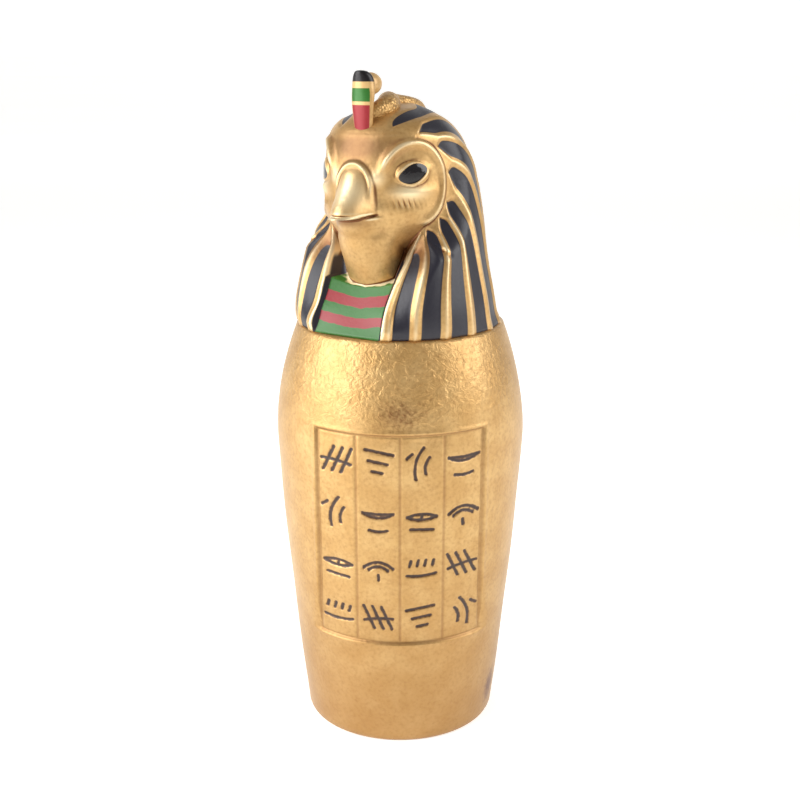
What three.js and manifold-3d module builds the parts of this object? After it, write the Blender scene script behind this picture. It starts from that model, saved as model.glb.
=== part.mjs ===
// A falcon-headed canopic jar: a hollow vessel with a four-column panel of strokes, and a solid lid
// carved as a falcon's head in a striped headcloth, with a cobra on the brow.
// Millimetres, +Z up, origin at the centre of the underside, panel facing -Y.
import * as THREE from "three";
import { mergeVertices } from "three/addons/utils/BufferGeometryUtils.js";
import Module from "manifold-3d";

const wasm = await Module();
wasm.setup();

// Vessel
const SEAM_HEIGHT = 190.8;
const SEAM_RADIUS = 46.7;
const BASE_RADIUS = 44.6;
const BASE_EDGE = 1.6;
const WIDEST_RADIUS = 57;
const WIDEST_HEIGHT = 140;
const FLANK_POWER = 1.28;
const SHOULDER_POWER = 1.9;
const WALL = 5.5;
const FLOOR = 7;
const MOUTH_RADIUS = 38.6;
const MOUTH_DEPTH = 15;
const RIM_EDGE = 0.9;
const JAR_COLUMNS = 40;
const FLANK_ROWS = 6;
const SHOULDER_ROWS = 5;

// Panel
const PANEL_BOTTOM = 52.7;
const PANEL_TOP = 152;
const PANEL_HALF_WIDTH = 36.6;
const PANEL_DEPTH = 0.8;
const COLUMN_LINE = 19.4;
const LINE_WIDTH = 0.9;
const LINE_DEPTH = 1.3;
const STROKE_WIDTH = 1.5;
const STROKE_DEPTH = 1.4;
const SIGN_ROWS = 4;

// Lid
const FACING = -32;
const JOINT_GAP = 0.3;
const PLUG_PLAY = 0.5;
const PLUG_LENGTH = 9;
const CROWN = 96;
const COLLAR_TOP = 19.8;
const LAPPET_EDGE = 21.4;
const FAN_END = 85;
const FAN_TOP = 46;
const EYE_LEVEL = 62;
const BROW_TOP = 84.6;
const RIB_RELIEF = 1;
const STRIPE_HALF = 0.31;
const TAIL_CLEARANCE = 7;
const CENTRE_STRIPE = 8;
const EYE_ANGLE = 41.6;
const EYE_HEIGHT = 68.4;
const EYE_SEAT = 2;
const DISC_ANGLE = 43;
const DISC_HEIGHT = 64;

const { degToRad, lerp, smoothstep } = THREE.MathUtils;

// A smooth curve y(x) through a few points, given in rising x.
function curveThrough(points) {
  const last = points.length - 1;
  const slopeAt = (k) => {
    const before = points[Math.max(k - 1, 0)];
    const after = points[Math.min(k + 1, last)];
    return (after[1] - before[1]) / (after[0] - before[0]);
  };
  return (x) => {
    let k = 0;
    while (k < last - 1 && x > points[k + 1][0]) k += 1;
    const [x0, y0] = points[k];
    const [x1, y1] = points[k + 1];
    const span = x1 - x0;
    const t = THREE.MathUtils.clamp((x - x0) / span, 0, 1);
    const rise = (3 - 2 * t) * t * t;
    const lead = t * (1 - t) * (1 - t) * span * slopeAt(k);
    const tail = t * t * (t - 1) * span * slopeAt(k + 1);
    return y0 + (y1 - y0) * rise + lead + tail;
  };
}

// A rounded bump, 1 in the middle and about a third at a distance of 1.
function bell(distance) {
  return Math.exp(-distance * distance);
}

// Evenly spaced values from start to end, with both ends.
function spread(start, end, count) {
  return Array.from({ length: count }, (_, i) => lerp(start, end, i / (count - 1)));
}

function toSolid(geometry) {
  const bare = geometry.clone();
  bare.deleteAttribute("normal");
  bare.deleteAttribute("uv");
  const merged = mergeVertices(bare, 1e-4);
  const mesh = new wasm.Mesh({
    numProp: 3,
    vertProperties: new Float32Array(merged.attributes.position.array),
    triVerts: new Uint32Array(merged.index.array),
  });
  return new wasm.Manifold(mesh);
}

function toGeometry(solid) {
  const mesh = solid.getMesh();
  const geometry = new THREE.BufferGeometry();
  geometry.setAttribute("position", new THREE.BufferAttribute(new Float32Array(mesh.vertProperties), 3));
  geometry.setIndex(new THREE.BufferAttribute(new Uint32Array(mesh.triVerts), 1));
  geometry.computeVertexNormals();
  return geometry;
}

// A profile of [radius, height] pairs turned about the upright Z axis.
function turned(profile, columns) {
  const points = profile.map(([radius, height]) => new THREE.Vector2(radius, height));
  return new THREE.LatheGeometry(points, columns).rotateX(Math.PI / 2);
}

// ---------------------------------------------------------------- vessel

function jarRadius(z) {
  if (z < WIDEST_HEIGHT) {
    const down = (WIDEST_HEIGHT - z) / WIDEST_HEIGHT;
    return WIDEST_RADIUS - (WIDEST_RADIUS - BASE_RADIUS) * down ** FLANK_POWER;
  }
  const up = (z - WIDEST_HEIGHT) / (SEAM_HEIGHT - WIDEST_HEIGHT);
  return WIDEST_RADIUS - (WIDEST_RADIUS - SEAM_RADIUS) * up ** SHOULDER_POWER;
}

function jarHeights() {
  const flank = spread(BASE_EDGE, WIDEST_HEIGHT, FLANK_ROWS);
  const shoulder = spread(WIDEST_HEIGHT, SEAM_HEIGHT - RIM_EDGE, SHOULDER_ROWS);
  return [...flank, ...shoulder.slice(1)];
}

function jarBody() {
  const rimHeight = SEAM_HEIGHT - JOINT_GAP / 2;
  const outside = jarHeights().map((z) => [jarRadius(z), z]);
  const insideTop = rimHeight - MOUTH_DEPTH;
  const insideHeights = [insideTop - 6, WIDEST_HEIGHT, 80, FLOOR + 6];
  const inside = insideHeights.map((z) => [jarRadius(z) - WALL, z]);
  return turned([
    [0, 0],
    [BASE_RADIUS - BASE_EDGE, 0],
    [BASE_RADIUS - BASE_EDGE * 0.3, BASE_EDGE * 0.3],
    ...outside,
    [jarRadius(SEAM_HEIGHT - RIM_EDGE) - RIM_EDGE, rimHeight],
    [MOUTH_RADIUS, rimHeight],
    [MOUTH_RADIUS, insideTop],
    ...inside,
    [jarRadius(FLOOR) - WALL - 5, FLOOR],
    [0, FLOOR],
  ], JAR_COLUMNS);
}

// The skin of the vessel from a depth below its surface outwards, over the panel's height.
function skinFrom(depth) {
  const heights = [PANEL_BOTTOM, ...jarHeights(), PANEL_TOP]
    .filter((z) => z >= PANEL_BOTTOM && z <= PANEL_TOP)
    .sort((a, b) => a - b);
  const outer = heights.map((z) => [jarRadius(z) + 2, z]);
  const inner = heights.map((z) => [jarRadius(z) - depth, z]).reverse();
  return toSolid(turned([...outer, ...inner, outer[0]], JAR_COLUMNS));
}

// A block standing in front of the vessel, reaching back past its skin.
function frontBlock(width, height, x, z) {
  const block = new THREE.BoxGeometry(width, 70, height);
  return toSolid(block.translate(x, -40, z));
}

// One brush stroke seen from the front: an arc of given turn, or a straight bar when the turn is 0.
function stroke({ x, z, length, tilt, bend = 0 }) {
  const pieces = Math.min(3, Math.ceil(Math.abs(bend) * 5) + 1);
  const half = STROKE_WIDTH / 2;
  const spine = spread(-0.5, 0.5, pieces + 1).map((t) => {
    return new THREE.Vector2(t * length, bend * length * (0.25 - t * t));
  });
  const outline = new THREE.Shape([
    ...spine.map((p) => new THREE.Vector2(p.x, p.y - half)),
    ...spine.map((p) => new THREE.Vector2(p.x, p.y + half)).reverse(),
  ]);
  const bar = new THREE.ExtrudeGeometry(outline, { depth: 70, bevelEnabled: false });
  bar.rotateZ(degToRad(tilt));
  bar.rotateX(Math.PI / 2);
  return toSolid(bar.translate(x, 0, z));
}

// Seven groups of plain strokes, each a list of [across, up, length, tilt, bend]. None is a letter:
// they are leaning ticks, nested bows, closed boats, dots over a bar and shrinking dashes.
const SIGNS = [
  [[-3.6, 0, 12, 66], [0.4, 0, 12, 66], [4.4, 0, 12, 66], [0, -1, 13, -6, 0.15]],
  [[0, 1.6, 13.5, 0, -0.12], [0, 1.6, 13.5, 0, -0.62], [0, -6.4, 8, 0, -0.3]],
  [[-5.1, 2.6, 2.6, 75], [-1.7, 2.8, 2.6, 75], [1.7, 2.8, 2.6, 75], [5.1, 2.6, 2.6, 75],
    [0, -3, 13, 3, -0.2]],
  [[-1, 0, 14.5, 76, 0.5], [2.4, -1, 7.5, 78, 0.5], [-5.6, 3.4, 3, 40]],
  [[0, 0, 13, 0, 0.9], [0, -1, 8.4, 0, 0.9], [0, -4.6, 2.6, 85]],
  [[-0.6, 5, 12.5, 9], [0, 0.4, 8.6, 9], [0.4, -4, 4.8, 9]],
  [[0, 0, 13, 0, 0.42], [0, 0, 13, 0, -0.42], [0, 0, 2.4, 80], [0, -6, 10, -3]],
];
const SIGN_STEP = 3;

function panelStrokes() {
  const columnWidth = COLUMN_LINE;
  const columns = [-1.45, -0.5, 0.5, 1.45].map((n) => n * columnWidth);
  const rows = spread(PANEL_TOP - 12.5, PANEL_BOTTOM + 12.5, SIGN_ROWS);
  const strokes = [];
  columns.forEach((x, column) => {
    rows.forEach((z, row) => {
      const sign = SIGNS[(row * SIGN_STEP + column * 5) % SIGNS.length];
      const mirror = column % 2 === 0 ? 1 : -1;
      for (const [dx, dz, length, tilt, bend] of sign) {
        strokes.push(stroke({ x: x + dx * mirror, z: z + dz, length, tilt: tilt * mirror, bend }));
      }
    });
  });
  return strokes.reduce((sum, next) => sum.add(next));
}

function makeJar() {
  const panelHeight = PANEL_TOP - PANEL_BOTTOM;
  const panelMiddle = (PANEL_TOP + PANEL_BOTTOM) / 2;
  const panel = frontBlock(2 * PANEL_HALF_WIDTH, panelHeight, 0, panelMiddle);
  const lines = [-COLUMN_LINE, 0, COLUMN_LINE]
    .map((x) => frontBlock(LINE_WIDTH, panelHeight, x, panelMiddle))
    .reduce((sum, next) => sum.add(next));
  return toSolid(jarBody())
    .subtract(panel.intersect(skinFrom(PANEL_DEPTH)))
    .subtract(lines.intersect(skinFrom(LINE_DEPTH)))
    .subtract(panelStrokes().intersect(skinFrom(STROKE_DEPTH)));
}

// ---------------------------------------------------------------- lid
// Each point of the head is a radius from the Z axis at an angle from the way the face looks, in
// degrees, and a height above the seam.

const BACK_LINE = curveThrough([
  [0, 46.4], [5, 44.3], [14, 42.6], [28, 40], [44, 38], [58, 35.6], [66, 33.8],
]);
const FRONT_LINE = curveThrough([
  [0, 47.1], [4, 47.8], [11, 47.4], [22, 45.2], [34, 42.4], [46, 39.2], [57, 36.4], [74, 35],
]);

function domeRadius(h, spring, radius, power) {
  const rise = Math.max(0, (h - spring) / (CROWN - spring));
  return radius * Math.sqrt(Math.max(0, 1 - rise ** power));
}

// The headcloth: fuller in front over the lappets, drawn in behind and a little at the temples.
function clothRadius(angle, h) {
  const back = h < 64 ? BACK_LINE(h) : domeRadius(h, 58, 34.6, 2);
  const front = h < 74 ? FRONT_LINE(h) : domeRadius(h, 74, 35, 2.5);
  const temple = 2.2 * bell((Math.abs(angle) - 60) / 20) * smoothstep(h, 70, 80);
  return lerp(front, back, smoothstep(Math.abs(angle), 45, 125)) - temple;
}

// Lines of the cloth fan out from the seam: this gives the angle at a height of the line that
// leaves the seam at a given angle. The edge of a lappet spreads by FAN_SPREAD degrees.
const FAN_SPREAD = curveThrough([
  [0, 0], [12, 1.6], [20, 5.1], [27, 10], [38, 21], [46, 29], [54, 33], [60, 34], [70, 34],
]);

function fanned(seamAngle, h) {
  const amount = FAN_SPREAD(h);
  if (seamAngle < LAPPET_EDGE) return seamAngle * (1 + amount / LAPPET_EDGE);
  if (seamAngle > FAN_END) return seamAngle;
  return seamAngle + amount * (FAN_END - seamAngle) / (FAN_END - LAPPET_EDGE);
}

// Stripes are counted from 0 beside the collar to CENTRE_STRIPE down the middle of the back. Each
// leaves the seam upright and turns forward towards the face below a height of its own.
const stripeAtSeam = (k) => 31.5 + 16.5 * k + 0.258 * k * k;
const stripeTop = (k) => 42.5 + 8.4 * k;

function stripeAngle(k, h, limit = 0.999) {
  const reach = Math.min(h / stripeTop(k), limit);
  const turn = (0.9 + 0.6 * k) * (1 - smoothstep(k, 6.2, CENTRE_STRIPE));
  return fanned(stripeAtSeam(k), h) - turn * reach / (1 - reach);
}

// The other way: the count, with its fraction, of the stripe line through a point.
function stripeCount(angle, h) {
  let low = -1.2;
  let high = CENTRE_STRIPE;
  for (let halving = 0; halving < 20; halving += 1) {
    const middle = (low + high) / 2;
    const isBefore = stripeTop(middle) <= h || stripeAngle(middle, h) < angle;
    if (isBefore) low = middle;
    else high = middle;
  }
  const across = clothRadius(angle, h) * Math.sin(degToRad(angle));
  const tilt = THREE.MathUtils.radToDeg(Math.atan2(h - EYE_LEVEL, across));
  const overBrow = smoothstep(h, 76, 86) * (1 - smoothstep(angle, 55, 115));
  return lerp(low, Math.min(CENTRE_STRIPE, 5 + (tilt - 28) / 17.3), overBrow);
}

// How far the cloth sinks towards the edge of its opening, beside the throat and the face.
const EDGE_SINK = curveThrough([
  [0, 0], [5, 0.2], [12, 3.9], [20, 6.3], [27, 8.4], [36, 11], [41, 10.5], [48, 6], [64, 4],
  [76, 3], [85, 0.3], [96, 0],
]);
const SINK_WIDTH = 14;

function clothSink(opening, h) {
  return EDGE_SINK(h) * (1 - smoothstep(-opening, 0, SINK_WIDTH));
}

// How far a point lies inside the opening that the cloth leaves for face, throat and collar.
function insideOpening(angle, h) {
  const across = degToRad(angle) * 35;
  const discAcross = (across - degToRad(DISC_ANGLE) * 35) / 17;
  const disc = 17.5 * (1 - Math.hypot(discAcross, (h - DISC_HEIGHT) / 18.5));
  const brow = Math.min(27 - across, BROW_TOP - h, h - FAN_TOP);
  const throat = Math.min((fanned(LAPPET_EDGE, h) - angle) * 0.7, FAN_TOP + 6 - h);
  return Math.max(disc, brow, throat);
}

// The beak's ridge, and the jaw and throat below it, seen from the side.
const BEAK_LINE = curveThrough([
  [50.2, 47.6], [52, 49], [54.5, 48], [58, 45.3], [62, 42.5], [66, 40.4], [70, 38.7],
  [74, 37.4],
]);
const JAW_LINE = curveThrough([[36, 33.4], [40.6, 37.3], [44, 40.8], [46.5, 42.6], [49.6, 43.6]]);
const BEAK_FOOT = 50.2;
const BEAK_HEAD = 74;
const BEAK_HALF_WIDTH = 9.8;
const MOUTH_RISE = 2.2;
const JAW_HALF_WIDTH = 12;
const NECK_RADIUS = 13.5;
const THROAT_LINE = curveThrough([[20, 29.6], [30.4, 34], [37, 36.8], [44, 38]]);
const THROAT_TOP = 44;

function beakSwell(across, h, base) {
  const up = THREE.MathUtils.clamp((h - BEAK_FOOT) / (BEAK_HEAD - BEAK_FOOT), 0, 1);
  const half = BEAK_HALF_WIDTH * Math.sqrt(1 - up ** 2.6);
  const side = Math.max(0, 1 - (across / (half + 0.01)) ** 2);
  const foot = BEAK_FOOT + MOUTH_RISE * (across / BEAK_HALF_WIDTH) ** 2;
  return h > foot && h < BEAK_HEAD ? (BEAK_LINE(h) - base) * side ** 1.1 : 0;
}

function jawSwell(across, h, base) {
  const side = Math.max(0, 1 - (across / JAW_HALF_WIDTH) ** 2);
  const isJaw = smoothstep(h, 30, 37) * (1 - smoothstep(h, BEAK_FOOT, BEAK_FOOT + 1));
  return Math.max(0, JAW_LINE(h) - base) * side ** 1.4 * isJaw;
}

// Round facial disc with a raised rim, a hollow round the eye and the eyeball in it.
function discRelief(angle, h) {
  const across = degToRad(angle - DISC_ANGLE) * 35;
  const reach = Math.hypot(across / 14.8, (h - DISC_HEIGHT) / 17.2);
  const innerLow = smoothstep(-across - 0.8 * (h - DISC_HEIGHT), 4, 16);
  const rim = 1.5 * bell((reach - 1) * 16 / 2.2) * (1 - innerLow);
  const eyeAcross = degToRad(angle - EYE_ANGLE) * 35;
  const eyeUp = h - EYE_HEIGHT;
  const hollow = 1.8 * bell(Math.hypot(eyeAcross, eyeUp) / 9.5);
  const ball = 1.6 * Math.max(0, 1 - Math.hypot(eyeAcross / 7.2, eyeUp / 4.6));
  const bag = 0.9 * bell(Math.hypot((h - 61) / 2.6, across / 9));
  return rim - hollow + ball + bag;
}

function faceRadius(angle, h) {
  const across = 36 * Math.sin(degToRad(angle));
  const forehead = 5.5 * THREE.MathUtils.clamp((h - 70) / 16, 0, 1) ** 1.5;
  const skull = 36.3 - 5.3 * (angle / 70) ** 2 - forehead;
  const cheek = skull - 7 * (Math.max(0, 55 - h) / 15) ** 2;
  const face = cheek + beakSwell(across, h, cheek) + jawSwell(across, h, cheek) + discRelief(angle, h);
  return lerp(face, clothRadius(angle, h) - 0.4, smoothstep(h, BROW_TOP - 4, BROW_TOP));
}

function neckRadius(angle, h) {
  const centre = THROAT_LINE(h) - NECK_RADIUS;
  const sideways = centre * Math.sin(degToRad(Math.min(angle, 50)));
  return centre * Math.cos(degToRad(angle)) + Math.sqrt(Math.max(0, NECK_RADIUS ** 2 - sideways ** 2));
}

// The larger of two radii, rounded where they meet.
function blendedMax(first, second, rounding) {
  return (first + second + Math.hypot(first - second, rounding)) / 2;
}

// The collar is a flat bib that leans back from the seam to the foot of the neck.
function collarRadius(angle, h) {
  const flatness = 0.86 + 0.44 * smoothstep(h, 0, 12);
  return (44.4 - 0.715 * h) / Math.cos(degToRad(flatness * angle));
}

function insideRadius(angle, h) {
  if (h <= COLLAR_TOP) return collarRadius(angle, h);
  const neck = neckRadius(angle, h) - 2 * Math.max(0, h - THROAT_TOP);
  return blendedMax(neck, faceRadius(angle, h), 3);
}

function headRadius(signedAngle, h) {
  const angle = Math.abs(signedAngle);
  const opening = insideOpening(angle, h);
  if (opening > 0) return insideRadius(angle, h);
  const count = stripeCount(angle, h);
  const offCentre = Math.abs(count - Math.round(count));
  const started = Math.max(0, 1 - (-opening - 2.5) / 4) ** 2;
  const aside = clothRadius(angle, h) * Math.sin(degToRad(angle));
  const overCrown = smoothstep(h, 80, 85) * (1 - smoothstep(angle, 120, 150));
  const underTail = overCrown * Math.max(0, 1 - (aside - TAIL_CLEARANCE) / 3);
  const within = 1 - offCentre / STRIPE_HALF - started - underTail;
  const carved = RIB_RELIEF * smoothstep(within, -0.2, 0.15);
  return clothRadius(angle, h) - clothSink(opening, h) - carved;
}

// Upright lines of the mesh, from the front to the back, as functions that give the angle at a
// height: even over the collar, then four to a stripe, and three to a stripe behind.
function meshLines() {
  const collar = spread(0, LAPPET_EDGE - 0.6, 9).map((angle) => (h) => fanned(angle, h));
  const stripes = [(h) => fanned(LAPPET_EDGE + 0.6, h)];
  for (let k = 0; k <= CENTRE_STRIPE; k += 1) {
    const offsets = k < 4 ? [-0.37, -0.26, 0.26, 0.37] : [-0.3, 0.3, 0.5];
    stripes.push(...offsets.map((offset) => (h) => stripeAngle(k + offset, h, 0.8)));
  }
  return [...collar, ...stripes.slice(0, -2)];
}

// Above the lappets the first lines of the mesh leave the stripes and share the face evenly.
const FACE_LINES = 18;
const LEAVE_BOTTOM = 45;
const LEAVE_TOP = 52;

function lineAngle(line, lines, h) {
  const own = lines[line](h);
  if (line >= FACE_LINES) return own;
  const even = lines[FACE_LINES](h) * line / FACE_LINES;
  return lerp(own, even, smoothstep(h, LEAVE_BOTTOM, LEAVE_TOP));
}

function headHeights() {
  const low = [0, 4, 9, 15, COLLAR_TOP, COLLAR_TOP + 1, 26, 32, 38];
  const face = spread(41.5, BROW_TOP, 16);
  const dome = [87.5, 90.4, 93, 95, 95.8];
  return [...low, ...face, ...dome];
}

function carvedHead() {
  const plugRadius = MOUTH_RADIUS - PLUG_PLAY;
  const base = JOINT_GAP / 2;
  const plain = [[0, -PLUG_LENGTH], [plugRadius, -PLUG_LENGTH], [plugRadius, base]];
  const heights = headHeights();
  const profile = [...plain, ...heights.map((h) => [SEAM_RADIUS, Math.max(h, base)]), [0, CROWN]];
  const lines = meshLines();
  const columns = lines.length * 2 - 1;
  const geometry = turned(profile, columns);
  const position = geometry.attributes.position;
  for (let column = 0; column <= columns; column += 1) {
    const fromFront = (column % columns) - (lines.length - 1);
    for (let row = 0; row < profile.length; row += 1) {
      const isCarved = row >= plain.length && row < profile.length - 1;
      const h = profile[row][1];
      const angle = Math.sign(fromFront) * lineAngle(Math.abs(fromFront), lines, Math.max(h, 0));
      const radius = isCarved ? headRadius(angle, h) : profile[row][0];
      const turn = degToRad(angle);
      position.setXYZ(column * profile.length + row, radius * Math.sin(turn), -radius * Math.cos(turn), h);
    }
  }
  return geometry;
}

// An eyeball, a flattened ball let into the face on one side of the beak.
function eyeball(side) {
  const ball = new THREE.SphereGeometry(1, 10, 6).scale(6.4, 2.6, 3.9);
  const angle = degToRad(EYE_ANGLE) * side;
  ball.translate(0, -faceRadius(EYE_ANGLE, EYE_HEIGHT) + EYE_SEAT, EYE_HEIGHT);
  return toSolid(ball.rotateZ(angle));
}

// The cobra: an upright hood with a blunt head, and its coil and tail lying back over the crown.
const HOOD_WIDTH = 10.4;
const HOOD_DEPTH = 5.6;
const HOOD_FRONT = 30.6;
const HOOD_FOOT = 80;
const HOOD_TOP = 107;

function cobraHood() {
  const half = HOOD_WIDTH / 2;
  const outline = new THREE.Shape();
  outline.moveTo(-half * 0.8, HOOD_FOOT);
  outline.lineTo(half * 0.8, HOOD_FOOT);
  outline.quadraticCurveTo(half * 1.15, lerp(HOOD_FOOT, HOOD_TOP, 0.6), half * 0.9, HOOD_TOP);
  outline.lineTo(-half * 0.9, HOOD_TOP);
  outline.quadraticCurveTo(-half * 1.15, lerp(HOOD_FOOT, HOOD_TOP, 0.6), -half * 0.8, HOOD_FOOT);
  const bevel = 1.2;
  const slab = new THREE.ExtrudeGeometry(outline, {
    depth: HOOD_DEPTH - 2 * bevel, bevelThickness: bevel, bevelSize: bevel, bevelOffset: -bevel,
    bevelSegments: 1, curveSegments: 4,
  });
  slab.rotateX(Math.PI / 2);
  return toSolid(slab.translate(0, -HOOD_FRONT + HOOD_DEPTH - bevel, 0));
}

function cobraHead() {
  const head = new THREE.SphereGeometry(1, 12, 7).scale(5.1, 4.2, 4.6);
  return toSolid(head.translate(0, -HOOD_FRONT + HOOD_DEPTH / 2 + 0.2, HOOD_TOP - 1.2));
}

// The body coils behind the hood and lies back over the crown, thinner and thinner: each point is
// how far forward of the crown it is, how far aside, its height and its radius.
const TAIL_POINTS = [
  [27, 0, 91, 3.2], [21, 2.4, 94.6, 3.6], [15, 3.2, 96.4, 4.2], [10, 0, 97, 4.6], [5, -2.6, 96.6, 3.9],
  [-1, -1.6, 96, 3.2], [-8, 1.6, 95.2, 2.8], [-15, 0.6, 93.4, 2.4], [-20, -0.6, 91, 1.8], [-24, 0, 88, 1.2],
];

function cobraTail() {
  const beads = TAIL_POINTS.map(([forward, aside, h, radius]) => {
    const bead = new THREE.IcosahedronGeometry(radius, 1);
    return toSolid(bead.translate(aside, -forward, h));
  });
  const links = beads.slice(1).map((bead, k) => wasm.Manifold.hull([beads[k], bead]));
  return links.reduce((sum, next) => sum.add(next));
}

function makeLid() {
  return toSolid(carvedHead())
    .add(eyeball(1))
    .add(eyeball(-1))
    .add(cobraHood())
    .add(cobraHead())
    .add(cobraTail());
}

function named(name, solid, colour, roughness) {
  const material = new THREE.MeshStandardMaterial({ color: colour, roughness, metalness: 0.3 });
  const mesh = new THREE.Mesh(toGeometry(solid), material);
  mesh.name = name;
  return mesh;
}

const canopicJar = new THREE.Group();
canopicJar.name = "canopic_jar";

const jar = named("jar", makeJar(), 0xcf9f62, 0.42);
canopicJar.add(jar);

const lid = named("falcon_head_lid", makeLid(), 0xd3a667, 0.36);
lid.position.z = SEAM_HEIGHT;
lid.rotation.z = degToRad(FACING);
canopicJar.add(lid);

export default canopicJar;
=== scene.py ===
import math

import bmesh
import bpy
import numpy as np
from mathutils import Matrix, Vector


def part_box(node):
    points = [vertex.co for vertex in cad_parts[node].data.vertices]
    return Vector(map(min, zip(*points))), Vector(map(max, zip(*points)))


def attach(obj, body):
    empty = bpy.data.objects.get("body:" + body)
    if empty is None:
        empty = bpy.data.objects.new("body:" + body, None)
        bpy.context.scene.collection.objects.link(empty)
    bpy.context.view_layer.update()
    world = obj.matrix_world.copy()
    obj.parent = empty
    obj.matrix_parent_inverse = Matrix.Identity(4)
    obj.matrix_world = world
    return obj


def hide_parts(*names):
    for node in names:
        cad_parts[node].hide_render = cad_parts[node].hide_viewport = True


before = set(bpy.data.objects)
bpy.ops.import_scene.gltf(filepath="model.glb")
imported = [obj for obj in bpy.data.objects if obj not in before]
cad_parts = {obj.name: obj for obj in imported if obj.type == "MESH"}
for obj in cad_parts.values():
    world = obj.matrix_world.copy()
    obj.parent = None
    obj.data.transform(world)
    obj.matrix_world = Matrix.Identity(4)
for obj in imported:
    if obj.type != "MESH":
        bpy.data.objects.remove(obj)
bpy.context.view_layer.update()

# ---------------------------------------------------------------- view and light
# A camera a little above the jar, looking down at its front. A pale floor that curves up behind,
# one broad soft light from the left, a weaker one from the right, and an even white surround.
MM = 0.001
WHITE = (1, 1, 1, 1)
CAMERA_PLACE = Vector((0, -542, 306.5)) * MM
CAMERA_TILT = 15.9
CAMERA_LENS = 54.5
SENSOR_WIDTH = 36
KEY_LIGHT = {"place": (-1000, -360, 620), "size": 1150, "power": 20}
FILL_LIGHT = {"place": (1000, -240, 660), "size": 850, "power": 9}
LIGHT_TARGET = Vector((0, 0, 170)) * MM
SURROUND_STRENGTH = 0.34
FLOOR_SIZE = 8000
BACKDROP_HEIGHT = 3000
BACKDROP_CURVE = 600
BACKDROP_STEPS = 12


def linear(hex_colour):
    """An sRGB hex colour as linear RGBA."""
    parts = [int(hex_colour[i : i + 2], 16) / 255 for i in (1, 3, 5)]
    return (*[((c + 0.055) / 1.055) ** 2.4 if c > 0.04045 else c / 12.92 for c in parts], 1)


def node(material, kind, inputs=None, **settings):
    """Adds a node with its own settings. Each input is a value, or the socket that feeds it."""
    made = material.node_tree.nodes.new("ShaderNode" + kind)
    for name, value in settings.items():
        setattr(made, name, value)
    for name, value in (inputs or {}).items():
        if isinstance(value, bpy.types.NodeSocket):
            material.node_tree.links.new(value, made.inputs[name])
        else:
            made.inputs[name].default_value = value
    return made


def new_material(name):
    """A material without nodes."""
    material = bpy.data.materials.new(name)
    material.use_nodes = True
    material.node_tree.nodes.clear()
    return material


def show(name, shape):
    """An object at the origin that shows a finished mesh, a camera or a light."""
    shown = bpy.data.objects.new(name, shape)
    bpy.context.scene.collection.objects.link(shown)
    return shown


camera = show("view_camera", bpy.data.cameras.new("view_camera"))
camera.location = CAMERA_PLACE
camera.rotation_euler = (math.radians(90 - CAMERA_TILT), 0, 0)
camera.data.lens = CAMERA_LENS
camera.data.sensor_width = SENSOR_WIDTH
bpy.context.scene.camera = camera
bpy.context.scene.view_settings.view_transform = "Standard"

surround = bpy.data.worlds.new("white_surround")
surround.use_nodes = True
surround.node_tree.nodes["Background"].inputs["Color"].default_value = WHITE
surround.node_tree.nodes["Background"].inputs["Strength"].default_value = SURROUND_STRENGTH
bpy.context.scene.world = surround

for light_name, light in (("key_light", KEY_LIGHT), ("fill_light", FILL_LIGHT)):
    lamp = show(light_name, bpy.data.lights.new(light_name, "AREA"))
    lamp.data.size = light["size"] * MM
    lamp.data.energy = light["power"]
    lamp.location = Vector(light["place"]) * MM
    lamp.rotation_euler = (LIGHT_TARGET - lamp.location).to_track_quat("-Z", "Y").to_euler()

floor_shape = bmesh.new()
bmesh.ops.create_grid(floor_shape, x_segments=1, y_segments=1, size=FLOOR_SIZE * MM / 2)
back_edge = [edge for edge in floor_shape.edges if all(v.co.y > 0 for v in edge.verts)]
risen = bmesh.ops.extrude_edge_only(floor_shape, edges=back_edge)["geom"]
risen = [part for part in risen if isinstance(part, bmesh.types.BMVert)]
bmesh.ops.translate(floor_shape, verts=risen, vec=(0, 0, BACKDROP_HEIGHT * MM))
bmesh.ops.bevel(
    floor_shape, geom=back_edge, offset=BACKDROP_CURVE * MM, segments=BACKDROP_STEPS, profile=0.5,
    affect="EDGES", material=-1,
)
floor_mesh = bpy.data.meshes.new("floor")
floor_shape.to_mesh(floor_mesh)
floor_shape.free()

# Matt white paper: no shine, and a faint glow that keeps it even and pale round the jar's foot.
FLOOR_COLOUR = linear("#f4f3f0")
FLOOR_ROUGHNESS = 0.9
FLOOR_GLOW = 0.5

floor_paper = new_material("matt_white_paper_floor")
floor_surface = node(
    floor_paper, "BsdfPrincipled",
    {
        "Base Color": FLOOR_COLOUR, "Roughness": FLOOR_ROUGHNESS,
        "Emission Color": WHITE, "Emission Strength": FLOOR_GLOW,
    },
)
node(floor_paper, "OutputMaterial", {"Surface": floor_surface.outputs["BSDF"]})
floor_mesh.materials.append(floor_paper)
floor = show("floor", floor_mesh)

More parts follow.
